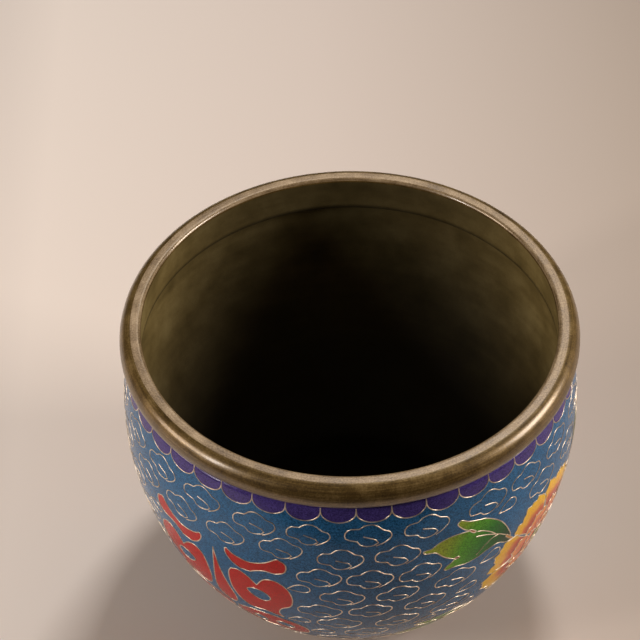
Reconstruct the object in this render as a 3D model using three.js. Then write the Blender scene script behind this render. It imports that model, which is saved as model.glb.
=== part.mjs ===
// A cloisonne planter bowl: a spun copper bowl coated outside with enamel, with a brass ring
// capping its mouth and a brass ring for a foot. Millimetres, +Z up, with the origin at the
// centre of the foot's underside.
import * as THREE from "three";

// Overall
const overallHeight = 138; // from the foot's underside to the top of the rim

// Fineness: straight sides around a turned surface, and steps along its curves
const segments = 64;
const shoulderSteps = 3;
const lowerSteps = 9;
const lipSteps = 3;
const rollSteps = 8;

// Rim ring, seen in section
const mouthRadius = 81.3; // the narrowest part of the mouth
const lipRound = 1.6; // rounding from the mouth up to the land
const landWidth = 3.4; // flat top of the rim
const rollReach = 3.7; // how far the outer roll stands past the land
const rollHeight = 11.5; // depth of the outer roll
const rollFullness = 0.87; // how much of a half ellipse the roll shows before it meets the enamel
const flangeDepth = 17; // depth of the neck band inside the mouth
const flangeTaper = 1.2; // how much wider the neck band is at its lower edge
const capThickness = 3; // brass left above the copper's edge

// Body
const neckStepIn = 2.4; // how far the enamel under the roll stands back from the rim's outside
const bellySwell = 3.2; // how far the belly, the widest part, stands past the neck
const bellyHeight = 91; // height of the belly above the ground
const bellyPower = 1.74; // fullness of the curve from belly to base: 2 is an ellipse, 1 is a cone
const baseTuck = 5; // how far inside the foot's outside the body's curve would end
const baseHeight = 6.6; // height at which it would end
const enamelThickness = 1.2;
const copperWall = 1.2;
const copperFloor = 1.6;

// Foot ring
const footRadius = 51;
const footWidth = 5; // width of the brass in the foot ring
const footChamfer = 0.8;

const solderGap = 0.3; // left between pieces that are soldered or fused together

// What the driving sizes give
const landRadius = mouthRadius + lipRound + landWidth;
const rimRadius = landRadius + rollReach;
const neckRadius = rimRadius - neckStepIn;
const bellyRadius = neckRadius + bellySwell;
const baseRadius = footRadius - baseTuck;
const neckHeight = overallHeight - rollHeight - solderGap; // top edge of the enamel
const copperOffset = enamelThickness + solderGap; // from the enamel's face to the copper's outside
const linerOffset = copperOffset + copperWall; // from the enamel's face to the copper's inside

const v2 = (radius, height) => new THREE.Vector2(radius, height);

// Points at even steps from start to end, both included.
function stepped(count, pointAt) {
  return Array.from({ length: count + 1 }, (_, i) => pointAt(i / count));
}

// The body's outside from neck to base: a parabola out to the belly, then a superellipse in
// to the base.
function bodyProfile() {
  const shoulder = stepped(shoulderSteps, (t) =>
    v2(
      neckRadius + (bellyRadius - neckRadius) * (1 - (1 - t) ** 2),
      neckHeight + (bellyHeight - neckHeight) * t,
    ),
  );
  const lower = stepped(lowerSteps, (t) => {
    const turn = (t * Math.PI) / 2;
    return v2(
      baseRadius +
        (bellyRadius - baseRadius) *
          Math.max(Math.cos(turn), 0) ** (2 / bellyPower),
      bellyHeight -
        (bellyHeight - baseHeight) * Math.sin(turn) ** (2 / bellyPower),
    );
  });
  return [...shoulder, ...lower.slice(1)];
}

// A profile moved inwards by a distance, square to itself, with its top kept at the same height.
function inset(profile, distance) {
  return profile.map((point, i) => {
    const before = profile[Math.max(i - 1, 0)];
    const after = profile[Math.min(i + 1, profile.length - 1)];
    const along = after.clone().sub(before).normalize();
    const inward = v2(along.y, -along.x);
    if (i === 0) inward.set(-1, 0);
    if (i === profile.length - 1) inward.set(0, 1);
    return point.clone().addScaledVector(inward, distance);
  });
}

// The part of a downward profile where its x or y is at least the limit, ending exactly on it.
function clipped(profile, axis, limit) {
  const end = profile.findIndex((point) => point[axis] < limit);
  if (end < 1) return profile;
  const [above, below] = [profile[end - 1], profile[end]];
  const share = (above[axis] - limit) / (above[axis] - below[axis]);
  return [...profile.slice(0, end), above.clone().lerp(below, share)];
}

// A solid turned about the Z axis from a closed section, listed anticlockwise with radius to the right.
function turned(name, section, material) {
  const geometry = new THREE.LatheGeometry([...section, section[0]], segments);
  geometry.rotateX(Math.PI / 2);
  const mesh = new THREE.Mesh(geometry, material);
  mesh.name = name;
  return mesh;
}

const agedBrass = new THREE.MeshStandardMaterial({
  color: 0x6b5a32,
  roughness: 0.42,
  metalness: 0.9,
});
const dullCopper = new THREE.MeshStandardMaterial({
  color: 0x4f4522,
  roughness: 0.6,
  metalness: 0.7,
});
const blueEnamel = new THREE.MeshStandardMaterial({
  color: 0x1f5c93,
  roughness: 0.2,
  metalness: 0,
});

// The spun copper bowl, open at the mouth, with a flat floor over the foot.
function copperBowl() {
  const body = bodyProfile();
  const outside = clipped(inset(body, copperOffset), "x", footRadius);
  const undersideHeight = outside.at(-1).y;
  const floorHeight = undersideHeight + copperFloor;
  const inside = clipped(inset(body, linerOffset), "y", floorHeight);
  const edgeHeight = overallHeight - capThickness - solderGap;
  const section = [
    v2(0, undersideHeight),
    ...outside.reverse(),
    v2(neckRadius - copperOffset, edgeHeight),
    v2(neckRadius - linerOffset, edgeHeight),
    ...inside,
    v2(0, floorHeight),
  ];
  return {
    mesh: turned("copper_bowl", section, dullCopper),
    undersideHeight,
  };
}

// The enamel fused to the copper, from under the rim's roll down to the foot ring.
function enamelCoat() {
  const body = bodyProfile();
  const lowerEdge = footRadius + solderGap;
  const face = clipped(body, "x", lowerEdge);
  const back = clipped(inset(body, enamelThickness), "x", lowerEdge);
  return turned("enamel_coat", [...face.reverse(), ...back], blueEnamel);
}

// The cast brass rim: a neck band inside the copper and a roll outside it, joined over the
// copper's edge.
function rimRing() {
  const top = overallHeight;
  const bandBottom = top - flangeDepth;
  const slotInner = neckRadius - linerOffset - solderGap;
  const slotOuter = neckRadius - copperOffset + solderGap;
  const rollBottom = top - rollHeight;
  const lip = stepped(lipSteps, (t) => {
    const turn = (t * Math.PI) / 2;
    return v2(
      mouthRadius + lipRound * (1 - Math.cos(turn)),
      top - lipRound * (1 - Math.sin(turn)),
    );
  });
  // The roll is a half ellipse set a little low, so that its lower end lands on the enamel.
  const halfRoll = rollHeight / (1 + rollFullness);
  const rollEnd = -Math.asin(rollFullness);
  const roll = stepped(rollSteps, (t) => {
    const turn = Math.PI / 2 + (rollEnd - Math.PI / 2) * t;
    return v2(
      landRadius + rollReach * Math.cos(turn),
      top - halfRoll + halfRoll * Math.sin(turn),
    );
  });
  return turned(
    "rim_ring",
    [
      v2(mouthRadius + flangeTaper, bandBottom),
      v2(slotInner, bandBottom),
      v2(slotInner, top - capThickness),
      v2(slotOuter, top - capThickness),
      v2(slotOuter, rollBottom),
      ...roll.reverse(),
      ...lip.reverse(),
    ],
    agedBrass,
  );
}

// The brass foot ring, soldered under the copper's floor, with its lower edges broken.
function footRing(undersideHeight) {
  const top = undersideHeight - solderGap;
  const inner = footRadius - footWidth;
  return turned(
    "foot_ring",
    [
      v2(inner, footChamfer),
      v2(inner + footChamfer, 0),
      v2(footRadius - footChamfer, 0),
      v2(footRadius, footChamfer),
      v2(footRadius, top),
      v2(inner, top),
    ],
    agedBrass,
  );
}

const bowl = copperBowl();
const planter = new THREE.Group();
planter.add(
  bowl.mesh,
  enamelCoat(),
  rimRing(),
  footRing(bowl.undersideHeight),
);

export default planter;
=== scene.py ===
import bisect
import math
import random

import bpy
from mathutils import Matrix, Vector
from mathutils.geometry import delaunay_2d_cdt


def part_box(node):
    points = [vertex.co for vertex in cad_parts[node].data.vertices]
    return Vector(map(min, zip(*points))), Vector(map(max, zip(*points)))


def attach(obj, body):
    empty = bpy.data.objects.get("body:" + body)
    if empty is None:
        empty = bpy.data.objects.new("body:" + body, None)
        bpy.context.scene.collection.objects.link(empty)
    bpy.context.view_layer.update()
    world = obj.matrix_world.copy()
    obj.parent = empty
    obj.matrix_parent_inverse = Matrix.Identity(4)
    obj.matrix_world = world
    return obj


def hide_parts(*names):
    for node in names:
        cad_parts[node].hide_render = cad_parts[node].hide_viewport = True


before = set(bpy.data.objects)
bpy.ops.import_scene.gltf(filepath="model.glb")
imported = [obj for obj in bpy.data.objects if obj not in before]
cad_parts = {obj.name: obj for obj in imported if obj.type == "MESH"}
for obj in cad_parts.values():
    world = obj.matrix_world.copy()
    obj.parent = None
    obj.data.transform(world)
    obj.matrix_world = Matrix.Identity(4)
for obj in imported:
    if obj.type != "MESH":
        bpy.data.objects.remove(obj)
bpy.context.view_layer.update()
scene = bpy.context.scene
mm = 0.001  # sizes below are in millimetres and angles in degrees; the front faces -90

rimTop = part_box("rim_ring")[1].z / mm
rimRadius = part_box("rim_ring")[1].x / mm
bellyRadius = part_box("enamel_coat")[1].x / mm
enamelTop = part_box("enamel_coat")[1].z / mm
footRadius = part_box("foot_ring")[1].x / mm
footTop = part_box("foot_ring")[1].z / mm
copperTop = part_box("copper_bowl")[1].z / mm


def addObject(name, data):
    made = bpy.data.objects.new(name, data)
    scene.collection.objects.link(made)
    return made


# Helpers for curves drawn in millimetres

def blend(a, b, t):
    return tuple(p + (q - p) * t for p, q in zip(a, b))


def distance(a, b):
    return math.hypot(a[0] - b[0], a[1] - b[1])


def polar(reach, turn):
    return (reach * math.cos(turn), reach * math.sin(turn))


def smoothLine(points, closed=False, step=0.8):
    # a Catmull-Rom curve through the points, with a point about every step
    count = len(points)
    spans = count if closed else count - 1
    at = (lambda i: points[i % count]) if closed else (lambda i: points[min(max(i, 0), count - 1)])
    line = []
    for i in range(spans):
        a, b, c, d = at(i - 1), at(i), at(i + 1), at(i + 2)
        parts = max(1, math.ceil(distance(b, c) / step))
        for k in range(parts):
            t = k / parts
            line.append(tuple(
                0.5 * (2 * q + (r - p) * t + (2 * p - 5 * q + 4 * r - s) * t * t
                       + (3 * q - p - 3 * r + s) * t ** 3)
                for p, q, r, s in zip(a, b, c, d)))
    return line if closed else line + [tuple(points[-1])]


def strokesOutline(strokes):
    # a closed outline with corners: each stroke is smooth and ends where the next one starts
    outline = []
    for i, stroke in enumerate(strokes):
        nextStart = strokes[(i + 1) % len(strokes)][0]
        outline += smoothLine(list(stroke) + [nextStart])[:-1]
    return outline


def anticlockwise(outline):
    area = sum(a[0] * b[1] - b[0] * a[1] for a, b in zip(outline, outline[1:] + outline[:1]))
    return outline if area > 0 else outline[::-1]


def isInside(x, y, outline):
    inside = False
    x1, y1 = outline[-1]
    for x2, y2 in outline:
        if (y2 > y) != (y1 > y) and x < (x1 - x2) * (y - y2) / (y1 - y2) + x2:
            inside = not inside
        x1, y1 = x2, y2
    return inside


# The body's outline, from the roll down to the foot

body = {
    "neckRadius": 87.6,
    "bellyHeight": 91,
    "bellyPower": 1.74,
    "baseRadius": footRadius - 5,
    "baseHeight": 6.6,
    "lowerEdge": footRadius + 0.3,
    "steps": 200,
}


def bodyLine():
    b, line = body, []
    for i in range(b["steps"]):
        t = i / b["steps"]
        line.append((b["neckRadius"] + (bellyRadius - b["neckRadius"]) * (1 - (1 - t) ** 2),
                     enamelTop + (b["bellyHeight"] - enamelTop) * t))
    for i in range(b["steps"] * 3):
        turn = i / (b["steps"] * 3) * math.pi / 2
        radius = b["baseRadius"] + (bellyRadius - b["baseRadius"]) * math.cos(turn) ** (2 / b["bellyPower"])
        if radius < b["lowerEdge"]:
            break
        line.append((radius, b["bellyHeight"]
                     - (b["bellyHeight"] - b["baseHeight"]) * math.sin(turn) ** (2 / b["bellyPower"])))
    return line


bodyPoints = bodyLine()
bodyLengths = [0.0]
for before, after in zip(bodyPoints, bodyPoints[1:]):
    bodyLengths.append(bodyLengths[-1] + distance(before, after))
sheetDepth = bodyLengths[-1]  # length down the body from the roll to the foot


def radiusAt(depth):
    # the body's radius at a length down from the roll
    depth = min(max(depth, 0), sheetDepth)
    high = min(bisect.bisect_right(bodyLengths, depth), len(bodyLengths) - 1)
    t = (depth - bodyLengths[high - 1]) / (bodyLengths[high] - bodyLengths[high - 1])
    return blend(bodyPoints[high - 1], bodyPoints[high], t)[0]


def onSheet(azimuth, depth, x=0.0, y=0.0):
    # the enamel is drawn on a flat sheet, as wide as the belly is round: x along, y up, the roll at 0
    down = depth - y
    return (bellyRadius * (math.radians(azimuth) + x / radiusAt(down)), -down)


# The design: coloured cells, later ones lying over earlier ones, and the wires between them

cells = []  # {"paint", "outline", "shade", "veins", "wire", "box"}
clouds = []  # (azimuth, depth, turn, size)
drops = []

design = {
    "sides": (0, 180),  # the back repeats the front
    "scallops": 42,
    "firstTip": -85.714,
    "tipsFromSeam": 11.5,  # scallops between the seam behind the bowl and the first tip
    "scallopDepth": 5.8,
    "cuspDepth": 1.3,
    "handWobble": 0.35,
    "archPower": 0.86,  # less makes an arch fuller
    "seed": 7,
}
hand = random.Random(design["seed"])
sheetStart = design["firstTip"] - design["tipsFromSeam"] * 360 / design["scallops"]
sheetLeft = math.radians(sheetStart) * bellyRadius
sheetWidth = 2 * math.pi * bellyRadius


def addOnSheet(paint, outline, shade=None, veins=(), wire=None):
    xs, ys = [p[0] for p in outline], [p[1] for p in outline]
    cells.append({"paint": paint, "outline": outline, "shade": shade, "veins": veins, "wire": wire,
                  "box": (min(xs), max(xs), min(ys), max(ys))})


def addCell(paint, local, azimuth, depth, shade=None, veins=()):
    # a cell drawn about its own middle, where its shade is worked out too
    def shadeOnSheet(sx, sy):
        down = -sy
        return shade((sx / bellyRadius - math.radians(azimuth)) * radiusAt(down), depth - down)

    addOnSheet(paint, [onSheet(azimuth, depth, x, y) for x, y in local], shade and shadeOnSheet,
               [[onSheet(azimuth, depth, x, y) for x, y in vein] for vein in veins])


# Scallops hang from the roll, and a band of petals stands on the foot

footBand = {"petals": 30, "height": 11, "line": 1.2}


def arch(left, width, base, height, steps):
    turns = [math.pi * i / steps for i in range(steps + 1)]
    return [(left + width / 2 * (1 - math.cos(turn)), base + height * math.sin(turn) ** design["archPower"])
            for turn in turns]


def drawScallops():
    width = sheetWidth / design["scallops"]
    for i in range(design["scallops"]):
        left = sheetLeft + width * i
        drop = design["scallopDepth"] + hand.uniform(-1, 1) * design["handWobble"]
        wire = [(left, 0)] + arch(left, width, -design["cuspDepth"], -drop, 18)
        addOnSheet("violet", wire + [(left + width, 0)], wire=wire)


def drawFootBand():
    width = sheetWidth / footBand["petals"]
    for i in range(footBand["petals"]):
        left = sheetLeft + width * i
        wire = arch(left, width, footBand["line"] - sheetDepth, footBand["height"], 16)
        addOnSheet("violet", [(left, -sheetDepth), (left + width, -sheetDepth)] + wire[::-1], wire=wire)


# Peony: rings of ruffled petals, yellow at the edge and red within, on a short stem from the leaf

peony = {
    "place": (-34, 63),  # azimuth, depth
    "rings": (  # petals, first boundary, inner radius, outer radius, ruffle, paint
        (8, 2.5, 11.0, 31.6, 1.5, "petal"),
        (6, 18.0, 6.0, 18.4, 1.2, "petalInner"),
        (5, 50.0, 2.5, 10.4, 0.9, "petalInner"),
    ),
    "stem": ((-26, 24), (-24, 21.2), (-21.8, 18.6)),
    "stemHalf": 0.32,
    "heart": 4.2,
    "overlap": 1.04,  # width of a petal's edge and of its root, as shares of its place in the ring
    "root": 0.82,
    "waistTurn": 0.05,
    "edgeSteps": 54,
}


def petalEdge(share, outer, ruffle, sway):
    # share runs from -1 to 1 across the petal; three soft bumps, uneven by hand, and drooping shoulders
    bumps = 0.5 - 0.5 * math.cos(3 * math.pi * share + sway) + 0.6 * math.sin(4.4 * share + 2 * sway)
    frill = 0.3 * math.sin(7 * math.pi * share + 5 * sway)
    return outer * (1 - 0.12 * abs(share) ** 4) - ruffle * (bumps + frill)


def petalOutline(middle, half, inner, outer, ruffle, sway):
    p, edge = peony, []
    for i in range(p["edgeSteps"] + 1):
        share = -1 + 2 * i / p["edgeSteps"]
        turn = math.radians(middle + half * p["overlap"] * share)
        edge.append(polar(petalEdge(share, outer, ruffle, sway), turn))
    left = math.radians(middle - half * p["root"])
    right = math.radians(middle + half * p["root"])
    waist = (inner + outer) * 0.5
    side = [edge[-1], polar(waist, right + p["waistTurn"]), polar(inner, right)]
    back = [polar(inner, left), polar(waist, left - p["waistTurn"]), edge[0]]
    return edge[:-1] + smoothLine(side) + smoothLine(back)[:-1]


def petalShade(middle, half, inner, outer, ruffle, sway):
    def shade(x, y):
        turn = math.degrees(math.atan2(y, x)) - middle
        turn = (turn + 180) % 360 - 180
        edge = petalEdge(max(-1, min(1, turn / half)), outer, ruffle, sway)
        return max(0.0, min(1.0, (edge - math.hypot(x, y)) / (edge - inner)))
    return shade


def drawPeony(azimuth, depth):
    for count, first, inner, outer, ruffle, paint in peony["rings"]:
        pitch = 360 / count
        for i in range(count):
            shape = (first + pitch * (i + 0.5), pitch / 2, inner, outer, ruffle, hand.uniform(-0.8, 0.8))
            addCell(paint, petalOutline(*shape), azimuth, depth, petalShade(*shape))
    stem, half = smoothLine(peony["stem"]), peony["stemHalf"]
    stemEdge = [(x - half, y - half) for x, y in stem] + [(x + half, y + half) for x, y in stem[::-1]]
    addCell("petalInner", stemEdge, azimuth, depth)
    heart = [polar(peony["heart"], math.radians(a)) for a in range(0, 360, 12)]
    addCell("heart", heart, azimuth, depth)


# A leaf of three lobes that points left from its base, with a curled bud in its fork

leaf = {
    "outline": (
        ((0, 1.6), (-1.1, 4.7), (-2.9, 8.9), (-5.4, 13.1), (-8.9, 16.9), (-13, 19.9), (-17.1, 21.4),
         (-20.6, 22.8), (-23, 24.6)),
        ((-23.9, 25), (-25.3, 23.6), (-23.6, 20.6), (-21.4, 18.4)),
        ((-20, 17.4), (-24.5, 18.2), (-29, 18.3), (-33.1, 17.2), (-36.2, 15.3), (-38.6, 15)),
        ((-39.6, 14.6), (-39.2, 13.3), (-34.8, 12.2), (-32.5, 9.6), (-30.1, 7.2)),
        ((-26.9, 5.1), (-27.8, 3.6), (-30, 2)),
        ((-31, 0.4), (-30, -0.5), (-26.9, -0.2), (-22, -1.1), (-18.5, -0.9), (-15.1, -0.1),
         (-11.6, 1), (-8.1, 1.3), (-5.4, 0.5), (-2.5, -1.8)),
        ((0.2, -2.8), (0.3, -0.6)),
    ),
    "veins": (
        ((-17.4, 12.4), (-13, 10.6), (-8.9, 8.2), (-6, 6.2), (-3.3, 3.7), (-0.2, 0.8)),
        ((-19.6, 17), (-17.6, 15.4), (-14.2, 13.8), (-10.8, 11), (-8.2, 8)),
        ((-17.1, 1.4), (-13.6, 4.6), (-9.8, 6.6), (-6.4, 6.4)),
    ),
    "buds": (
        ((-20.6, 18), (-19.4, 17.5), (-17.9, 16.2), (-17.5, 15.5), (-18.1, 15.2), (-19.2, 16)),
        ((-27, 5.6), (-25.4, 5.6), (-24.6, 5), (-25.6, 4.5), (-26.9, 4.7)),
    ),
    "places": (  # azimuth, depth, turn, mirrored
        (-48.9, 41.5, 0, False), (-17.5, 46, -8, True), (-48.5, 97, 30, False),
    ),
    "tipColourFrom": 34,  # distances from the leaf's base
    "baseColourTo": 5,
}


def turned(points, angle, mirror=False):
    c, s = math.cos(math.radians(angle)), math.sin(math.radians(angle))
    placed = [(x * c - y * s, x * s + y * c) for x, y in points]
    return [(-x, y) for x, y in placed] if mirror else placed


def drawLeaf(azimuth, depth, turn, mirror):
    def place(points):
        return turned(points, turn, mirror)

    def shade(x, y):
        near, far = leaf["baseColourTo"], leaf["tipColourFrom"]
        return max(0.0, min(1.0, 1 - (math.hypot(x, y) - near) / (far - near)))

    veins = [place(smoothLine(vein)) for vein in leaf["veins"]]
    addCell("leaf", place(strokesOutline(leaf["outline"])), azimuth, depth, shade, veins)
    for bud in leaf["buds"]:
        addCell("bud", place(smoothLine(bud, closed=True, step=0.6)), azimuth, depth)


# The red ornament: a palmette of curling strokes, the same on both sides of its spike

palmette = {
    "place": (-127, 62),  # azimuth, depth
    "narrow": 0.9,
    "spike": (((0, 24), (1.3, 12), (3, 1), (4.4, -9), (3.6, -16), (0, -19.5), (-3.6, -16), (-4.4, -9),
               (-3, 1), (-1.3, 12)),),
    "side": (
        # tendril above, scroll in the middle, arch below
        (((7.5, 27.5), (11, 25.6), (18, 24.6), (25, 27), (30.5, 31)),
         ((31.5, 31.2), (34.8, 29), (34.4, 24.6), (30.5, 22.2), (25, 22), (20.5, 20.2)),
         ((18.2, 18.6), (13, 18.6), (9, 21), (6.6, 24.6), (6.4, 27.2))),
        (((8.2, 15.2), (12, 16.4), (16, 14.6), (19.5, 10.6)), ((20, 10), (24, 15.6), (29.6, 16.8), (34.2, 13),
          (35.6, 6), (33.6, -1), (28.6, -5.4), (26.4, -10.4)), ((27.4, -14.6), (20, -12.6), (13, -13.6),
          (8.6, -10.4), (6, -2), (5.8, 6), (6.6, 12))),
        (((2, -22.6), (10, -18.4), (20, -16.8), (29.4, -18.8), (34.6, -24), (34, -31), (29, -35.4)),
         ((28, -35.8), (20, -33.2), (11, -34.6), (4, -31), (1.6, -27))),
    ),
    "islands": (
        ((14.2, 3.4), (17.4, 6.2), (22.4, 5.8), (25, 2.2), (22.4, -1.6), (17.6, -0.8)),
        ((9.5, -26), (12.6, -23.4), (15.8, -25.4), (14.4, -29.6), (10.8, -30)),
        ((20.6, -24.6), (24.8, -22.6), (28.6, -25), (27.4, -28.6), (23, -28.8)),
    ),
}


def drawPalmette(azimuth, depth):
    addCell("red", strokesOutline(palmette["spike"]), azimuth, depth)
    for side in (-palmette["narrow"], palmette["narrow"]):
        for strokes in palmette["side"]:
            addCell("red", [(x * side, y) for x, y in strokesOutline(strokes)], azimuth, depth)
        for island in palmette["islands"]:
            addCell("blue", [(x * side, y) for x, y in smoothLine(island, closed=True)], azimuth, depth)


drawScallops()
drawFootBand()
for side in design["sides"]:
    drawPalmette(palmette["place"][0] + side, palmette["place"][1])
for side in design["sides"]:
    for azimuth, depth, turn, mirror in leaf["places"]:
        drawLeaf(azimuth + side, depth, turn, mirror)
for side in design["sides"]:
    drawPeony(peony["place"][0] + side, peony["place"][1])
print("design:", len(cells), "coloured cells")


# Clouds fill the ground in staggered rows, and small drops fill gaps beside the pictures

cloud = {
    "line": ((3.2, -5.1), (5.4, -3.9), (7.7, -1.9), (8.6, 0.2), (7.6, 2.1), (5.2, 2.9), (3.2, 4.6),
             (0.7, 5.5), (-1.8, 4.7), (-3.6, 3.1), (-6.6, 2.7), (-8.5, 0.6), (-8.1, -2.2), (-5.6, -2.9),
             (-3.8, -3.2), (-2.5, -4.8), (-0.2, -5.4), (2.7, -4.7), (4, -3.4), (3, -2.1), (0.6, -1.2),
             (-1.8, -0.6)),
    "firstRow": 14,
    "rowPitch": 12.1,
    "perTurn": 25,
    "start": -86.8,
    "gap": 22.4,
    "reach": (9.4, 6.6),
    "apart": (14.4, 9.5),
    "tries": ((0, 0), (-2.4, 0), (2.4, 0), (0, -2.4)),  # steps round and down, the first clear one is used
    "wander": 0.6,
    "turn": 7,
    "size": 0.04,
    "aboveFoot": 2,
    "lastRow": 6,
}
waterDrop = {
    "line": ((-4.7, -1.6), (-1.8, 1.6), (1.8, 2.9), (4.3, 1.6), (4.4, -1), (2.2, -2.4), (-1.4, -2.2),
             (-4.7, -1.6)),
    "reach": (5.6, 3.8),
    "tries": [(across, down) for across in (0, -4, 4, -8, 8) for down in (0, -4, 4)],
}


def covers(cell, x, y):
    x1, x2, y1, y2 = cell["box"]
    return x1 < x < x2 and y1 < y < y2 and isInside(x, y, cell["outline"])


def isClear(azimuth, depth, reach):
    # true where nothing coloured lies inside an oval of this reach
    lowest = footBand["height"] + cloud["aboveFoot"] - sheetDepth
    for degrees in range(0, 360, 15):
        for share in (0.45, 1):
            across, up = polar(share, math.radians(degrees))
            x, y = onSheet(azimuth, depth, reach[0] * across, reach[1] * up)
            if not lowest <= y <= -design["scallopDepth"]:
                return False
            if any(covers(cell, x + wrap * sheetWidth, y) for wrap in (-1, 0, 1) for cell in cells):
                return False
    return True


def isApart(azimuth, depth):
    # true where no cloud or drop placed so far is too near
    x, y = onSheet(azimuth, depth)
    half = sheetWidth / 2
    for other, otherDepth, _, _ in clouds + drops:
        ox, oy = onSheet(other, otherDepth)
        across = abs((x - ox + half) % sheetWidth - half) * radiusAt(depth) / bellyRadius
        if math.hypot(across / cloud["apart"][0], (y - oy) / cloud["apart"][1]) < 1:
            return False
    return True


def firstPlace(azimuth, depth, tries, isGood):
    return next(((azimuth + across, depth + down) for across, down in tries
                 if isGood(azimuth + across, depth + down)), None)


def drawClouds():
    depth, row, spare = cloud["firstRow"], 0, []
    while depth < sheetDepth - footBand["height"] - cloud["lastRow"]:
        count = min(cloud["perTurn"], round(2 * math.pi * radiusAt(depth) / cloud["gap"]))
        for i in range(count):
            azimuth = cloud["start"] + 360 / count * (i + 0.5 * (row % 2))
            azimuth += hand.uniform(-cloud["wander"], cloud["wander"])
            if azimuth > sheetStart + 360:
                azimuth -= 360
            down = depth + hand.uniform(-cloud["wander"], cloud["wander"])
            turn = hand.uniform(-cloud["turn"], cloud["turn"])
            size = hand.uniform(1 - cloud["size"], 1 + cloud["size"])
            place = firstPlace(azimuth, down, cloud["tries"], lambda a, d: isClear(a, d, cloud["reach"]))
            if place:
                clouds.append((*place, turn, size))
            else:
                spare.append((azimuth, down, turn, size))
        depth += cloud["rowPitch"]
        row += 1
    for azimuth, down, turn, size in spare:
        place = firstPlace(azimuth, down, waterDrop["tries"],
                           lambda a, d: isClear(a, d, waterDrop["reach"]) and isApart(a, d))
        if place:
            drops.append((*place, turn, size))


drawClouds()
print("design:", len(clouds), "clouds and", len(drops), "drops")


# Wires follow each cell's edge where no later cell covers it

def visibleParts(line, laterCells):
    runs = [[]]
    for x, y in line:
        if any(covers(cell, x, y) for cell in laterCells):
            runs.append([])
        else:
            runs[-1].append((x, y))
    return [run for run in runs if len(run) > 1]


def collectWires():
    lines = []
    for i, cell in enumerate(cells):
        if cell["wire"]:
            lines.append(cell["wire"])
            continue
        later = [c for c in cells[i + 1:] if c["box"][0] < cell["box"][1] and c["box"][1] > cell["box"][0]]
        for line in (cell["outline"] + cell["outline"][:1], *cell["veins"]):
            lines += visibleParts(line, later)
    return lines


wireLines = collectWires()
print("design:", len(wireLines), "wires")


# Nodes, and the groups that the shaders share

def newGroup(name, kind, inputs, outputs):
    group = bpy.data.node_groups.new(name, kind)
    for label, holds, value in inputs:
        socket = group.interface.new_socket(name=label, in_out="INPUT", socket_type="NodeSocket" + holds)
        if value is not None:
            socket.default_value = value
    for label, holds in outputs:
        group.interface.new_socket(name=label, in_out="OUTPUT", socket_type="NodeSocket" + holds)
    return group, group.nodes.new("NodeGroupInput"), group.nodes.new("NodeGroupOutput")


def feed(tree, node, values):
    # links the sockets among the values and sets the rest
    for key, value in values.items():
        if isinstance(value, bpy.types.NodeSocket):
            tree.links.new(value, node.inputs[key])
        else:
            node.inputs[key].default_value = value


def addNode(tree, kind, inputs=None, **settings):
    node = tree.nodes.new(kind)
    for key, value in settings.items():
        setattr(node, key, value)
    feed(tree, node, inputs or {})
    return node


def calc(tree, operation, *values):
    return addNode(tree, "ShaderNodeMath", dict(enumerate(values)), operation=operation).outputs[0]


def split(tree, vector):
    return addNode(tree, "ShaderNodeSeparateXYZ", {0: vector}).outputs


def join(tree, *values):
    return addNode(tree, "ShaderNodeCombineXYZ", dict(enumerate(values))).outputs[0]


def objectPlace(tree):
    return addNode(tree, "ShaderNodeTexCoord").outputs["Object"]


def noise(tree, place, scale, detail, **inputs):
    values = {"Vector": place, "Scale": scale, "Detail": detail, **inputs}
    return addNode(tree, "ShaderNodeTexNoise", values).outputs["Fac"]


def scaled(tree, colour, factor):
    return addNode(tree, "ShaderNodeVectorMath", {0: colour, "Scale": factor}, operation="SCALE").outputs[0]


grain = {"perMetre": 2600, "fineScale": 1300, "broadScale": 45, "middle": 0.4, "share": 0.9,
         "fineShare": 0.8, "fineHeight": 0.4, "broadHeight": 3.0}


def makeFritGrain():
    # ground glass fused together: fine grains, each a little lighter or darker, and soft clouds of colour
    group, into, out = newGroup(
        "fritGrain", "ShaderNodeTree",
        (("Colour", "Color", (1, 1, 1, 1)), ("Contrast", "Float", 0.5), ("Clouding", "Float", 0.3)),
        (("Colour", "Color"), ("Height", "Float"), ("Grain", "Float")))
    colour, contrast, clouding = (into.outputs[i] for i in range(3))
    place = objectPlace(group)
    grains = addNode(group, "ShaderNodeTexVoronoi", {"Vector": place, "Scale": grain["perMetre"]})
    value = addNode(group, "ShaderNodeSeparateColor", {"Color": grains.outputs["Color"]}).outputs["Red"]
    fine = noise(group, place, grain["fineScale"], 3)
    broad = noise(group, place, grain["broadScale"], 3)
    mixed = calc(group, "MULTIPLY_ADD", calc(group, "SUBTRACT", value, grain["middle"]), grain["share"],
                 calc(group, "MULTIPLY", calc(group, "SUBTRACT", fine, 0.5), grain["fineShare"]))
    bright = calc(group, "MULTIPLY_ADD", mixed, contrast, 1.0)
    soft = calc(group, "MULTIPLY_ADD", calc(group, "SUBTRACT", broad, 0.5), clouding, bright)
    height = calc(group, "MULTIPLY_ADD", fine, grain["fineHeight"],
                  calc(group, "MULTIPLY", broad, grain["broadHeight"]))
    feed(group, out, {"Colour": scaled(group, colour, soft), "Height": height, "Grain": value})
    return group


metalMarks = {"speckScale": 1500, "speckHeight": 0.3, "colourSpread": (0.35, 0.65), "roughSpread": (0.3, 0.7)}


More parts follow.
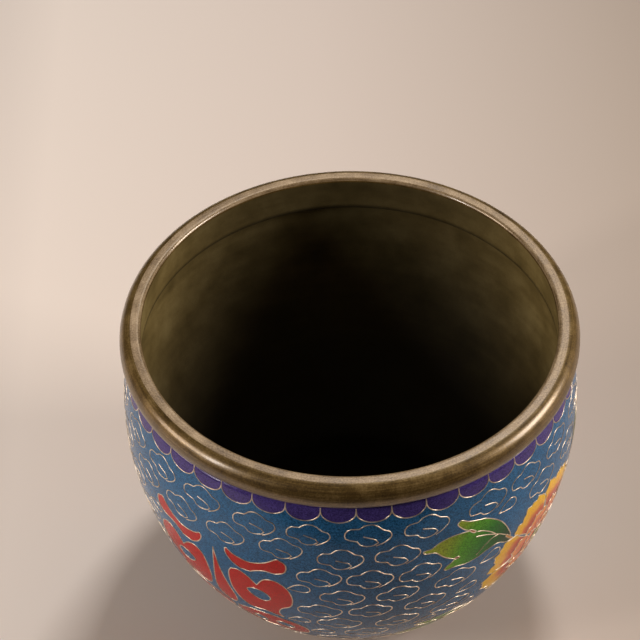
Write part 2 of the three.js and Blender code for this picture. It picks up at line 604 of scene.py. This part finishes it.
def makeTurnedMetal():
    # fine marks that run round a turned or brushed piece, with blotches of tarnish; reads the piece's own UV
    group, into, out = newGroup(
        "turnedMetal", "ShaderNodeTree",
        [(name, "Float", 100) for name in ("Along", "Across", "Blotches")],
        [(name, "Float") for name in ("Streaks", "Tarnish", "Specks")])
    uv = split(group, addNode(group, "ShaderNodeUVMap", uv_map="turning").outputs["UV"])
    stretched = join(group, calc(group, "MULTIPLY", uv[0], into.outputs["Along"]),
                     calc(group, "MULTIPLY", uv[1], into.outputs["Across"]))
    place = objectPlace(group)
    feed(group, out, {"Streaks": noise(group, stretched, 1, 4),
                      "Tarnish": noise(group, place, into.outputs["Blotches"], 5, Roughness=0.6),
                      "Specks": noise(group, place, metalMarks["speckScale"], 2)})
    return group


fritGrain = makeFritGrain()
turnedMetal = makeTurnedMetal()


def newMaterial(name):
    material = bpy.data.materials.new(name)
    material.use_nodes = True
    tree = material.node_tree
    tree.nodes.clear()
    shader = tree.nodes.new("ShaderNodeBsdfPrincipled")
    out = tree.nodes.new("ShaderNodeOutputMaterial")
    tree.links.new(shader.outputs[0], out.inputs["Surface"])
    return material, tree, shader


def ramp(tree, value, stops):
    node = tree.nodes.new("ShaderNodeValToRGB")
    tree.links.new(value, node.inputs[0])
    while len(node.color_ramp.elements) < len(stops):
        node.color_ramp.elements.new(0.5)
    for element, (at, colour) in zip(node.color_ramp.elements, stops):
        element.position = at
        element.color = (*colour, 1)
    return node.outputs[0]


# Enamels: stops run from a cell's edge or tip (0) to its middle or base (1)

enamels = {
    "blue": {"stops": ((0, (0.020, 0.113, 0.264)),), "contrast": 1.2, "clouding": 0.4},
    "violet": {"stops": ((0, (0.060, 0.041, 0.200)),), "contrast": 0.9, "clouding": 0.5},
    "red": {"stops": ((0, (0.50, 0.012, 0.011)),), "contrast": 0.4, "clouding": 0.25},
    "leaf": {"stops": ((0, (0.30, 0.38, 0.025)), (0.28, (0.10, 0.37, 0.018)), (0.62, (0.02, 0.17, 0.02)),
                       (1, (0.006, 0.05, 0.018))), "contrast": 0.8, "clouding": 0.9},
    "petal": {"stops": ((0, (0.90, 0.56, 0.02)), (0.28, (0.88, 0.44, 0.015)), (0.42, (0.66, 0.13, 0.015)),
                        (0.56, (0.46, 0.04, 0.014))), "contrast": 0.3, "clouding": 0.3},
    "petalInner": {"stops": ((0, (0.88, 0.36, 0.05)), (0.25, (0.80, 0.20, 0.03)), (0.6, (0.56, 0.06, 0.015)),
                             (1, (0.34, 0.02, 0.012))), "contrast": 0.3, "clouding": 0.3},
    "heart": {"stops": ((0, (0.30, 0.33, 0.04)),), "contrast": 0.4, "clouding": 0.3},
    "bud": {"stops": ((0, (0.5, 0.14, 0.04)),), "contrast": 0.3, "clouding": 0.3},
}
enamelGloss = {"roughness": (0.14, 0.22), "bump": 0.00002, "ior": 1.355}


def makeEnamel(name):
    recipe, gloss = enamels[name], enamelGloss
    material, tree, shader = newMaterial(name + "Enamel")
    colour = (*recipe["stops"][0][1], 1)
    if len(recipe["stops"]) > 1:
        shade = addNode(tree, "ShaderNodeAttribute", attribute_name="shade").outputs["Fac"]
        colour = ramp(tree, shade, recipe["stops"])
    frit = addNode(tree, "ShaderNodeGroup", {"Colour": colour, "Contrast": recipe["contrast"],
                                             "Clouding": recipe["clouding"]}, node_tree=fritGrain)
    rough = addNode(tree, "ShaderNodeMapRange", {
        0: frit.outputs["Grain"], "To Min": gloss["roughness"][0], "To Max": gloss["roughness"][1]})
    bump = addNode(tree, "ShaderNodeBump", {"Height": frit.outputs["Height"], "Distance": gloss["bump"]})
    feed(tree, shader, {"Base Color": frit.outputs["Colour"], "Roughness": rough.outputs[0],
                        "Normal": bump.outputs[0], "IOR": gloss["ior"]})
    return material


# Painted shade on the inside's tarnish colour: darker deep in the bowl (deeper tarnish and painted shade), a
# painted shadow along the seam under the neck band, and painted shade at the back

inside = {
    # deep down: partly deeper tarnish, partly painted shade where the lamps don't reach
    "deep": (12, 118, 0.03),  # height where it starts, height where it ends, darkest
    # painted shadow under the neck band's lower edge
    "seam": (120.4, 3.0, 0.35),  # height, reach to each side, darkest
    # painted shade at the back, which no lamp lights from the front
    "back": (28, 80, 0.42),  # distance behind the middle where it starts, where it ends, darkest
}


def fade(tree, value, start, end, low, high):
    return addNode(tree, "ShaderNodeMapRange", {0: value, "From Min": start * mm, "From Max": end * mm,
                                                "To Min": low, "To Max": high},
                   interpolation_type="SMOOTHSTEP").outputs[0]


# painted shade: the colour is multiplied darker deep down, along the seam and at the back
def paintedInsideShade(tree):
    _, y, z = split(tree, objectPlace(tree))
    lowest, highest, deepest = inside["deep"]
    seam, reach, seamShadow = inside["seam"]
    start, end, back = inside["back"]
    away = calc(tree, "ABSOLUTE", calc(tree, "SUBTRACT", z, seam * mm))
    shade = calc(tree, "MULTIPLY", fade(tree, z, lowest, highest, deepest, 1.0),
                 fade(tree, away, 0, reach, seamShadow, 1.0))
    return calc(tree, "MULTIPLY", shade, fade(tree, y, start, end, 1.0, back))


# Metals: marks per metre along, across and in blotches, and the weights of streaks, tarnish and specks

metals = {
    "rimPatina": {
        "marks": (40, 1600, 110), "weights": (0.9, 1.1, 0.8),
        "stops": ((0, (0.046, 0.024, 0.006)), (0.5, (0.138, 0.083, 0.020)), (1, (0.29, 0.192, 0.070))),
        "roughness": (0.36, 0.48), "metallic": 0.4, "coat": (0.9, 0.23), "bump": 0.00004},
    "lipBrass": {
        "marks": (60, 1600, 150), "weights": (0.9, 0.8, 0.6),
        "stops": ((0, (0.090, 0.055, 0.022)), (0.5, (0.25, 0.172, 0.090)), (1, (0.42, 0.315, 0.19))),
        "roughness": (0.34, 0.44), "metallic": 0.15, "coat": (1.0, 0.17), "bump": 0.00003},
    "landBrass": {
        "marks": (120, 1800, 90), "weights": (0.6, 1.3, 0.9),
        "stops": ((0, (0.095, 0.056, 0.024)), (0.5, (0.265, 0.182, 0.098)), (1, (0.47, 0.35, 0.22))),
        "roughness": (0.42, 0.56), "metallic": 0.15, "coat": (0, 0.2), "bump": 0.00003},
    "insideTarnishAndShade": {
        "marks": (14, 150, 55), "weights": (0.4, 1.0, 0.2),
        "stops": ((0, (0.140, 0.103, 0.034)), (0.5, (0.215, 0.160, 0.055)), (1, (0.305, 0.237, 0.092))),
        "roughness": (0.5, 0.7), "metallic": 0.2, "coat": (0, 0.2), "bump": 0.00002},
}


def makeMetal(name):
    recipe = metals[name]
    material, tree, shader = newMaterial(name)
    marks = addNode(tree, "ShaderNodeGroup", dict(enumerate(recipe["marks"])), node_tree=turnedMetal)
    streaks, tarnish, specks = marks.outputs
    byStreaks, byTarnish, bySpecks = recipe["weights"]
    mixed = calc(tree, "MULTIPLY_ADD", streaks, byStreaks,
                 calc(tree, "MULTIPLY_ADD", tarnish, byTarnish, calc(tree, "MULTIPLY", specks, bySpecks)))
    darkest, lightest = (sum(recipe["weights"]) * share for share in metalMarks["colourSpread"])
    value = addNode(tree, "ShaderNodeMapRange", {0: mixed, "From Min": darkest, "From Max": lightest})
    colour = ramp(tree, value.outputs[0], recipe["stops"])
    # the inside's tarnish colour is darkened by painted shade deep down, along the seam and at the back
    if name == "insideTarnishAndShade":
        colour = scaled(tree, colour, paintedInsideShade(tree))
    low, high = metalMarks["roughSpread"]
    rough = addNode(tree, "ShaderNodeMapRange", {
        0: tarnish, "From Min": low, "From Max": high,
        "To Min": recipe["roughness"][0], "To Max": recipe["roughness"][1]})
    height = calc(tree, "ADD", streaks, calc(tree, "MULTIPLY", specks, metalMarks["speckHeight"]))
    bump = addNode(tree, "ShaderNodeBump", {"Height": height, "Distance": recipe["bump"]})
    feed(tree, shader, {"Base Color": colour, "Roughness": rough.outputs[0], "Metallic": recipe["metallic"],
                        "Coat Weight": recipe["coat"][0], "Coat Roughness": recipe["coat"][1],
                        "Normal": bump.outputs[0]})
    return material


wireFinish = {"scale": 240, "stops": ((0.3, (0.42, 0.31, 0.21)), (0.55, (0.98, 0.87, 0.72))),
              "metallic": 1.0, "roughness": 0.34}


def makeWireCopper():
    finish = wireFinish
    material, tree, shader = newMaterial("wireCopper")
    colour = ramp(tree, noise(tree, objectPlace(tree), finish["scale"], 3), finish["stops"])
    feed(tree, shader, {"Base Color": colour, "Metallic": finish["metallic"],
                        "Roughness": finish["roughness"]})
    return material


# Geometry Nodes: flat drawings are wrapped on the body, and wires are laid along them

bodyInputs = (("Geometry", "Geometry", None), ("Outline", "Object", None), ("Belly Radius", "Float", 0.09))
wireInputs = bodyInputs + (("Wire Width", "Float", 0.0005), ("Wire Rise", "Float", 0.0001),
                           ("Material", "Material", None))


def newTree(name, inputs):
    return newGroup(name, "GeometryNodeTree", inputs, (("Geometry", "Geometry"),))


def makeWrapTree():
    # x turns round the body, y runs down its outline, and z lifts square off its surface
    tree, into, out = newTree("wrapOnBody", bodyInputs)
    x, y, lift = split(tree, addNode(tree, "GeometryNodeInputPosition").outputs[0])
    turn = calc(tree, "DIVIDE", x, into.outputs["Belly Radius"])
    outline = addNode(tree, "GeometryNodeObjectInfo", {"Object": into.outputs["Outline"]})
    sample = addNode(tree, "GeometryNodeSampleCurve", {"Curves": outline.outputs["Geometry"]},
                     mode="LENGTH", use_all_curves=True)
    feed(tree, sample, {"Length": calc(tree, "MULTIPLY", y, -1.0)})
    spot = split(tree, sample.outputs["Position"])
    slope = split(tree, sample.outputs["Tangent"])
    radius = calc(tree, "MULTIPLY_ADD", calc(tree, "MULTIPLY", slope[2], -1.0), lift, spot[0])
    height = calc(tree, "MULTIPLY_ADD", slope[0], lift, spot[2])
    wrapped = join(tree, calc(tree, "MULTIPLY", radius, calc(tree, "COSINE", turn)),
                   calc(tree, "MULTIPLY", radius, calc(tree, "SINE", turn)), height)
    moved = addNode(tree, "GeometryNodeSetPosition",
                    {"Geometry": into.outputs["Geometry"], "Position": wrapped})
    feed(tree, out, {0: moved.outputs[0]})
    return tree


wrapTree = makeWrapTree()


def wrapNode(tree, geometry, into):
    values = {key: into.outputs[key] for key in ("Outline", "Belly Radius")}
    return addNode(tree, "GeometryNodeGroup", {"Geometry": geometry, **values}, node_tree=wrapTree).outputs[0]


def layWire(tree, curves, into, out):
    # a flattened wire, half sunk in the enamel, swept along the drawn lines and wrapped on the body
    ring = addNode(tree, "GeometryNodeCurvePrimitiveCircle", {"Resolution": 6, "Radius": 0.5})
    size = join(tree, into.outputs["Wire Width"], calc(tree, "MULTIPLY", into.outputs["Wire Rise"], 2.0), 1.0)
    section = addNode(tree, "GeometryNodeTransform", {"Geometry": ring.outputs[0], "Scale": size})
    swept = addNode(tree, "GeometryNodeCurveToMesh", {"Curve": curves, "Profile Curve": section.outputs[0],
                                                      "Fill Caps": True})
    wrapped = wrapNode(tree, swept.outputs[0], into)
    smooth = addNode(tree, "GeometryNodeSetShadeSmooth", {"Geometry": wrapped})
    whole = addNode(tree, "GeometryNodeRealizeInstances", {"Geometry": smooth.outputs[0]})
    painted = addNode(tree, "GeometryNodeSetMaterial",
                      {"Geometry": whole.outputs[0], "Material": into.outputs["Material"]})
    feed(tree, out, {0: painted.outputs[0]})


def makeDrawnWires():
    tree, into, out = newTree("drawnWires", wireInputs)
    layWire(tree, into.outputs["Geometry"], into, out)
    return tree


def makeRepeatedWires():
    # one drawn motif at every point, turned and sized by the point's own values
    tree, into, out = newTree("repeatedWires", wireInputs + (("Motif", "Object", None),))
    motif = addNode(tree, "GeometryNodeObjectInfo", {"Object": into.outputs["Motif"]})
    turn = addNode(tree, "GeometryNodeInputNamedAttribute", {"Name": "turn"}, data_type="FLOAT")
    size = addNode(tree, "GeometryNodeInputNamedAttribute", {"Name": "size"}, data_type="FLOAT_VECTOR")
    angle = addNode(tree, "FunctionNodeEulerToRotation", {0: join(tree, 0, 0, turn.outputs["Attribute"])})
    copies = addNode(tree, "GeometryNodeInstanceOnPoints", {
        "Points": into.outputs["Geometry"], "Instance": motif.outputs["Geometry"],
        "Rotation": angle.outputs[0], "Scale": size.outputs["Attribute"]})
    real = addNode(tree, "GeometryNodeRealizeInstances", {"Geometry": copies.outputs[0]})
    layWire(tree, real.outputs[0], into, out)
    return tree


def makeSheetTree():
    # the enamel sheet wrapped round the body and joined up behind
    tree, into, out = newTree("wrappedSheet", bodyInputs + (("Seam", "Float", 0.00001),))
    wrapped = wrapNode(tree, into.outputs["Geometry"], into)
    merged = addNode(tree, "GeometryNodeMergeByDistance",
                     {"Geometry": wrapped, "Distance": into.outputs["Seam"]})
    smooth = addNode(tree, "GeometryNodeSetShadeSmooth", {"Geometry": merged.outputs[0]})
    whole = addNode(tree, "GeometryNodeRealizeInstances", {"Geometry": smooth.outputs[0]})
    feed(tree, out, {0: whole.outputs[0]})
    return tree


def setInputs(modifier, tree, values):
    for item in tree.interface.items_tree:
        if item.item_type == "SOCKET" and item.in_out == "INPUT" and item.name in values:
            modifier[item.identifier] = values[item.name]


def curveObject(name, lines):
    # points have two coordinates on the sheet, or three
    data = bpy.data.curves.new(name, "CURVE")
    data.dimensions = "3D"
    for line in lines:
        spline = data.splines.new("POLY")
        spline.points.add(len(line) - 1)
        for point, place in zip(spline.points, line):
            x, y, z = (*place, 0)[:3]
            point.co = (x * mm, y * mm, z * mm, 1)
    return addObject(name, data)


def pointsObject(name, places):
    # points on the flat sheet, each with its turn and its size
    mesh = bpy.data.meshes.new(name)
    spots = [onSheet(azimuth, depth) for azimuth, depth, _, _ in places]
    mesh.from_pydata([(x * mm, y * mm, 0) for x, y in spots], [], [])
    turn = mesh.attributes.new("turn", "FLOAT", "POINT")
    size = mesh.attributes.new("size", "FLOAT_VECTOR", "POINT")
    for i, (_, depth, angle, scale) in enumerate(places):
        turn.data[i].value = math.radians(angle)
        size.data[i].vector = (scale * bellyRadius / radiusAt(depth), scale, 1)
    return addObject(name, mesh)


def nodesToMesh(source, name, tree, values):
    # runs the tree on the source and keeps the result as a plain mesh
    modifier = source.modifiers.new("nodes", "NODES")
    modifier.node_group = tree
    setInputs(modifier, tree, values)
    bpy.context.view_layer.update()
    graph = bpy.context.evaluated_depsgraph_get()
    mesh = bpy.data.meshes.new_from_object(source.evaluated_get(graph), depsgraph=graph)
    mesh.name = name
    source.modifiers.remove(modifier)
    made = addObject(name, mesh)
    bpy.data.objects.remove(source)
    return made


# The enamel coat

coat = {"thickness": 1.2, "gridAlong": 2.2, "gridDown": 2.0, "clear": 0.7}


def enamelSheet(paints):
    taken = set()
    points, edges, faces = [], [], []
    for cell in cells:
        first = len(points)
        points += [Vector(p) for p in anticlockwise(cell["outline"])]
        ids = list(range(first, len(points)))
        edges += list(zip(ids, ids[1:] + ids[:1]))
        faces.append(ids)
        for x, y in cell["outline"]:
            taken.add((round(x / coat["clear"]), round(y / coat["clear"])))
    columns, rows = round(sheetWidth / coat["gridAlong"]), round(sheetDepth / coat["gridDown"])
    for j in range(rows + 1):
        for i in range(columns + 1):
            x, y = sheetLeft + sheetWidth * i / columns, -sheetDepth * j / rows
            near = (round(x / coat["clear"]), round(y / coat["clear"]))
            border = i in (0, columns) or j in (0, rows)
            around = ((near[0] + a, near[1] + b) for a in (-1, 0, 1) for b in (-1, 0, 1))
            if border or not any(spot in taken for spot in around):
                points.append(Vector((x, y)))
    flat, _, triangles, _, _, owners = delaunay_2d_cdt(points, edges, faces, 0, 1e-4, True)
    mesh = bpy.data.meshes.new("enamelSheet")
    mesh.from_pydata([(p.x * mm, p.y * mm, 0) for p in flat], [], triangles)
    shade = mesh.attributes.new("shade", "FLOAT", "CORNER")
    names = list(paints)
    for polygon, owner in zip(mesh.polygons, owners):
        cell = cells[max(owner)] if owner else None
        polygon.material_index = names.index(cell["paint"]) if cell else 0
        if cell and cell["shade"]:
            for corner in polygon.loop_indices:
                spot = flat[mesh.loops[corner].vertex_index]
                shade.data[corner].value = cell["shade"](spot.x, spot.y)
    return addObject("enamelSheet", mesh)


bodyOutline = curveObject("bodyOutline", [[(r, 0, z) for r, z in bodyPoints]])
onBody = {"Outline": bodyOutline, "Belly Radius": bellyRadius * mm}

paints = {name: makeEnamel(name) for name in enamels}
sheet = enamelSheet(paints)
for paint in paints.values():
    sheet.data.materials.append(paint)
enamelCoat = nodesToMesh(sheet, "enamelCoat", makeSheetTree(), onBody)
thick = enamelCoat.modifiers.new("thickness", "SOLIDIFY")
thick.thickness = coat["thickness"] * mm
thick.offset = -1
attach(enamelCoat, "root")
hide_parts("enamel_coat")
print("enamel coat:", len(enamelCoat.data.polygons), "faces")


# The wires

wire = {"width": 0.5, "rise": 0.13}
wireValues = {**onBody, "Wire Width": wire["width"] * mm, "Wire Rise": wire["rise"] * mm,
              "Material": makeWireCopper()}


def keepWires(made):
    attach(made, "root")
    print(made.name + ":", len(made.data.polygons), "faces")


repeatedWires = makeRepeatedWires()
for name, line, places in (("cloudWires", smoothLine(cloud["line"], step=2.0), clouds),
                           ("dropWires", smoothLine(waterDrop["line"], step=1.5), drops)):
    motif = curveObject(name + "Motif", [line])
    keepWires(nodesToMesh(pointsObject(name + "Points", places), name, repeatedWires,
                          {**wireValues, "Motif": motif}))
    bpy.data.objects.remove(motif)
keepWires(nodesToMesh(curveObject("pictureLines", wireLines), "pictureWires", makeDrawnWires(), wireValues))
bpy.data.objects.remove(bodyOutline)


# Turned metal pieces

def lathe(name, section, materials, sides=256):
    # a closed section turned about the axis; its UV map is metres round the rim and along the section
    mesh = bpy.data.meshes.new(name)
    count = len(section)
    turns = [2 * math.pi * i / sides for i in range(sides)]
    verts = [(*polar(r * mm, turn), z * mm) for turn in turns for r, z in section]
    quads = []
    for i in range(sides):
        a, b = i * count, (i + 1) % sides * count
        quads += [(a + k, b + k, b + (k + 1) % count, a + (k + 1) % count) for k in range(count)]
    mesh.from_pydata(verts, [], quads)
    lengths = [0.0]
    for k in range(count):
        lengths.append(lengths[-1] + distance(section[k], section[(k + 1) % count]))
    uv = mesh.uv_layers.new(name="turning")
    around = 2 * math.pi * rimRadius / sides * mm
    for i in range(sides):
        for k in range(count):
            corners = ((i, k), (i + 1, k), (i + 1, k + 1), (i, k + 1))
            for c, (column, row) in enumerate(corners):
                uv.data[(i * count + k) * 4 + c].uv = (column * around, lengths[row] * mm)
    for material in materials:
        mesh.materials.append(material)
    mesh.shade_smooth()
    return addObject(name, mesh)


def arcPoints(centre, reach, rise, start, end, steps):
    turns = [math.radians(start + (end - start) * i / steps) for i in range(steps + 1)]
    return [(centre[0] + reach * math.cos(turn), centre[1] + rise * math.sin(turn)) for turn in turns]


rim = {
    "mouthRadius": 81.3, "lipRound": 1.7, "landWidth": 3.3, "rollHeight": 11.5, "rollFullness": 0.87,
    "flangeDepth": 17, "flangeTaper": 1.2, "capThickness": 3, "copperOffset": 1.5, "copperWall": 1.2,
    "gap": 0.3,
    "landEdge": 1.6,  # how far inside the land's edge the roll starts to fall
    "landPoints": (0.65, 0.85),  # shares of the land's width
    "landSlope": 0.985,  # the upward part of a face's normal, above which a face beside the roll is land
    "lipSlopes": (0.9, 0.3),  # the same for land and polished lip on the inside
    "wallEdge": 0.4,  # from the lip's rounding down to the plain wall, and from its foot to the lower edge
    "bandEdge": 0.15,
}


def makeRim():
    r = rim
    landRadius = r["mouthRadius"] + r["lipRound"] + r["landWidth"]
    slotInner = body["neckRadius"] - r["copperOffset"] - r["copperWall"] - r["gap"]
    slotOuter = body["neckRadius"] - r["copperOffset"] + r["gap"]
    half = r["rollHeight"] / (1 + r["rollFullness"])
    rollEnd = -math.degrees(math.asin(r["rollFullness"]))
    landEnd = landRadius - r["landEdge"]
    reach = rimRadius - landEnd
    section = [(r["mouthRadius"] + r["flangeTaper"] + r["gap"], rimTop - r["flangeDepth"]),
               (slotInner, rimTop - r["flangeDepth"]), (slotInner, rimTop - r["capThickness"]),
               (slotOuter, rimTop - r["capThickness"]), (slotOuter, rimTop - r["rollHeight"])]
    section += arcPoints((landEnd, rimTop - half), reach, half, rollEnd, 90, 36)
    section += [(landRadius - r["landWidth"] * t, rimTop) for t in r["landPoints"]]
    section += arcPoints((r["mouthRadius"] + r["lipRound"], rimTop - r["lipRound"]),
                         r["lipRound"], r["lipRound"], 90, 180, 8)
    wallTop = (r["mouthRadius"], rimTop - r["lipRound"] - r["wallEdge"])
    wallLow = (r["mouthRadius"] + r["flangeTaper"], rimTop - r["flangeDepth"] + r["bandEdge"])
    section += [blend(wallTop, wallLow, t / 6) for t in range(7)]
    names = list(metals)
    made = lathe("rimRing", section, [makeMetal(name) for name in names])
    for polygon in made.data.polygons:
        radius, up = math.hypot(polygon.center.x, polygon.center.y) / mm, polygon.normal.z
        if polygon.center.z < (rimTop - r["lipRound"]) * mm:
            paint = "insideTarnishAndShade" if radius < slotInner - r["wallEdge"] else "rimPatina"
        elif radius >= landRadius - r["landEdge"]:
            paint = "landBrass" if up > r["landSlope"] else "rimPatina"
        elif up > r["lipSlopes"][0]:
            paint = "landBrass"
        else:
            paint = "lipBrass" if up > r["lipSlopes"][1] else "rimPatina"
        polygon.material_index = names.index(paint)
    return made


def insetLine(line, by):
    moved = []
    for i, point in enumerate(line):
        before, after = line[max(i - 1, 0)], line[min(i + 1, len(line) - 1)]
        length = distance(before, after)
        inward = ((after[1] - before[1]) / length, -(after[0] - before[0]) / length)
        if i == 0:
            inward = (-1, 0)
        moved.append((point[0] + inward[0] * by, point[1] + inward[1] * by))
    return moved


bowl = {"floor": 1.6, "corner": 1.6, "floorEdge": 0.5, "every": 8, "rings": 10, "centre": 0.4}


def makeBowl():
    r, b = rim, bowl
    outer = insetLine(bodyPoints, r["copperOffset"])[::b["every"]]
    inner = insetLine(bodyPoints, r["copperOffset"] + r["copperWall"])[::b["every"]]
    underside = footTop + r["gap"]
    floor = underside + b["floor"]
    inner = [p for p in inner if p[1] > floor + b["floorEdge"]]
    wall = body["neckRadius"] - r["copperOffset"]
    corner, middle = (inner[-1][0] - b["corner"], floor), (b["centre"], floor)
    section = [(b["centre"], underside), (footRadius * 0.5, underside), (footRadius, underside)]
    section += [p for p in outer if p[0] > footRadius][::-1]
    section += [(wall, copperTop), (wall - r["copperWall"], copperTop)]
    section += inner
    section += [blend(corner, middle, t / b["rings"]) for t in range(b["rings"] + 1)]
    return lathe("copperBowl", section, [bpy.data.materials["insideTarnishAndShade"]])


foot = {"width": 5, "chamfer": 0.8, "round": (0.2, 0.35)}


def makeFoot():
    inner, chamfer = footRadius - foot["width"], foot["chamfer"]
    section = [(inner, chamfer), (inner + chamfer, 0), (footRadius - chamfer, 0),
               (footRadius - foot["round"][0], foot["round"][1]), (footRadius, chamfer),
               (footRadius, footTop * 0.5), (footRadius, footTop), (inner, footTop), (inner, footTop * 0.5)]
    return lathe("footRing", section, [bpy.data.materials["rimPatina"]])


for made, node, slot in ((makeRim(), "rim_ring", "rim_brass"), (makeBowl(), "copper_bowl", "bowl_copper"),
                         (makeFoot(), "foot_ring", "foot_brass")):
    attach(made, "root")
    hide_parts(node)
    print(made.name + ":", len(made.data.polygons), "faces")


# The studio: a pale floor that ends short in front, with painted light that makes its colour brighter on the
# left, a small key lamp behind, a wide soft box at each side and a narrow one that draws the bright line on
# the roll's left

studio = {
    # painted light: colours across the floor, lighter on the left, stand in for uneven lamp light
    "floorPaintedLight": (  # distance to the right, colour
        (-190, (0.72, 0.645, 0.595)), (-150, (0.80, 0.714, 0.656)), (-10, (0.655, 0.572, 0.522)),
        (150, (0.42, 0.354, 0.306)), (200, (0.345, 0.285, 0.242)),
    ),
    "floorFront": -213,
    "floorReach": 3000,
    "beyondHeight": -5,
    "paperRoughness": 0.85,
    # painted shade: a near-black sheet beyond the floor's front edge stands in for the unlit room in front
    "beyondShadeColour": (0.012, 0.012, 0.014),
    "world": (0.30, 0.26, 0.23),
    "worldStrength": 0.05,
    "lights": (  # name, azimuth, elevation, distance, width, height, watts, colour
        ("keyLamp", 72, 57, 1400, 240, 240, 10.2, (1.0, 0.985, 0.96)),
        ("leftSoftbox", 189, 24, 1000, 300, 300, 3.0, (1.0, 0.80, 0.62)),
        ("leftStrip", 208, 28, 1000, 90, 300, 2.7, (1.0, 0.93, 0.87)),
        ("rightSoftbox", 357, 28, 1000, 420, 360, 8.2, (1.0, 0.87, 0.75)),
    ),
}


def stagePlane(name, left, right, front, back, height, colour):
    corners = ((left, front), (right, front), (right, back), (left, back))
    mesh = bpy.data.meshes.new(name)
    mesh.from_pydata([(x * mm, y * mm, height * mm) for x, y in corners], [], [(0, 1, 2, 3)])
    made = addObject(name, mesh)
    material, tree, shader = newMaterial(name + "Paper")
    feed(tree, shader, {"Base Color": (*colour, 1), "Roughness": studio["paperRoughness"]})
    mesh.materials.append(material)
    return tree, shader


def paintLightOnFloor(tree, shader):
    # painted light: the paper's colour is brighter on the left, as if lit more from that side
    shades = studio["floorPaintedLight"]
    start, end = shades[0][0], shades[-1][0]
    across = split(tree, objectPlace(tree))[0]
    share = addNode(tree, "ShaderNodeMapRange", {0: across, "From Min": start * mm, "From Max": end * mm})
    stops = [((x - start) / (end - start), colour) for x, colour in shades]
    feed(tree, shader, {"Base Color": ramp(tree, share.outputs[0], stops)})


def addLamp(name, azimuth, elevation, reach, width, height, watts, colour):
    aim = Vector((0, 0, rimTop * 0.5 * mm))
    data = bpy.data.lights.new(name, "AREA")
    data.shape = "RECTANGLE"
    data.size, data.size_y = width * mm, height * mm
    data.energy = watts
    data.color = colour
    light = addObject(name, data)
    a, e = math.radians(azimuth), math.radians(elevation)
    towards = Vector((*polar(math.cos(e), a), math.sin(e)))
    light.location = aim + towards * reach * mm
    light.rotation_euler = (aim - light.location).to_track_quat("-Z", "Y").to_euler()
    light.visible_camera = False


def makeStudio():
    s = studio
    far, front = s["floorReach"], s["floorFront"]
    paintLightOnFloor(*stagePlane("floor", -far, far, front, far, 0, s["floorPaintedLight"][0][1]))
    # the near-black sheet beyond the floor: painted shade that the enamel reflects
    stagePlane("beyond", -far, far, -far, front, s["beyondHeight"], s["beyondShadeColour"])
    for lamp in s["lights"]:
        addLamp(*lamp)
    world = bpy.data.worlds.new("studio")
    scene.world = world
    world.use_nodes = True
    feed(world.node_tree, world.node_tree.nodes["Background"],
         {"Color": (*s["world"], 1), "Strength": s["worldStrength"]})


camera = {"place": (-11.4, -608.0, 742.2), "lookDown": 44.88, "roll": -1.49, "lens": 123.75, "sensor": 36}


def makeCamera():
    data = bpy.data.cameras.new("camera")
    data.lens, data.sensor_width = camera["lens"], camera["sensor"]
    made = addObject("camera", data)
    turn = (Matrix.Rotation(math.radians(90 - camera["lookDown"]), 4, "X")
            @ Matrix.Rotation(math.radians(camera["roll"]), 4, "Z"))
    made.matrix_world = Matrix.Translation(Vector(camera["place"]) * mm) @ turn
    scene.camera = made


makeStudio()
makeCamera()
scene.view_settings.view_transform = "Standard"
print("studio and camera done")

bpy.context.view_layer.update()
